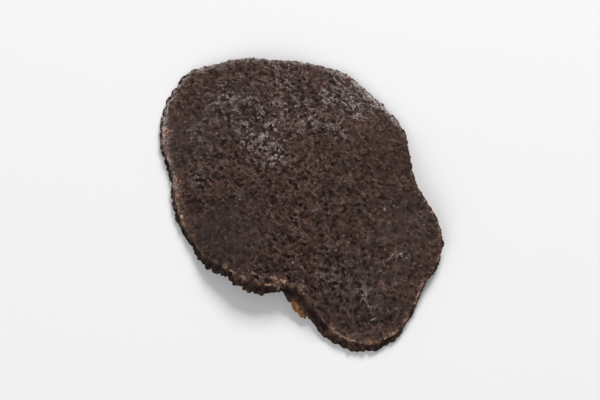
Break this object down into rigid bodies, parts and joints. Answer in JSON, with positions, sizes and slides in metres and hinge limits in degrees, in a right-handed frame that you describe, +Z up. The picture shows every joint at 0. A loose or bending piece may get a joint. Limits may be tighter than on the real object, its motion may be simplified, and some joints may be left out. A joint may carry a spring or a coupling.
{
  "type": "black truffle slice",
  "caption": "Thin shaved slice of dried black truffle, warped into a low dome, with a lobe, a torn notch and a warty rim.",
  "frame": {"origin": "on the surface that the slice lies on, under the middle of its box", "axes": "+Z up, out of the domed side; +Y along the slice's greatest length, away from the tip of its lobe; +X to the right"},
  "size_m": [0.041, 0.045, 0.006],
  "materials": {
    "truffle_flesh": "dry and matt, dark brown, granular, with a thin grey frost on its grain and a darker warty skin round the rim"
  },
  "bodies": {
    "root": {"truffle_slice": "truffle_flesh"}
  },
  "joints": []
}
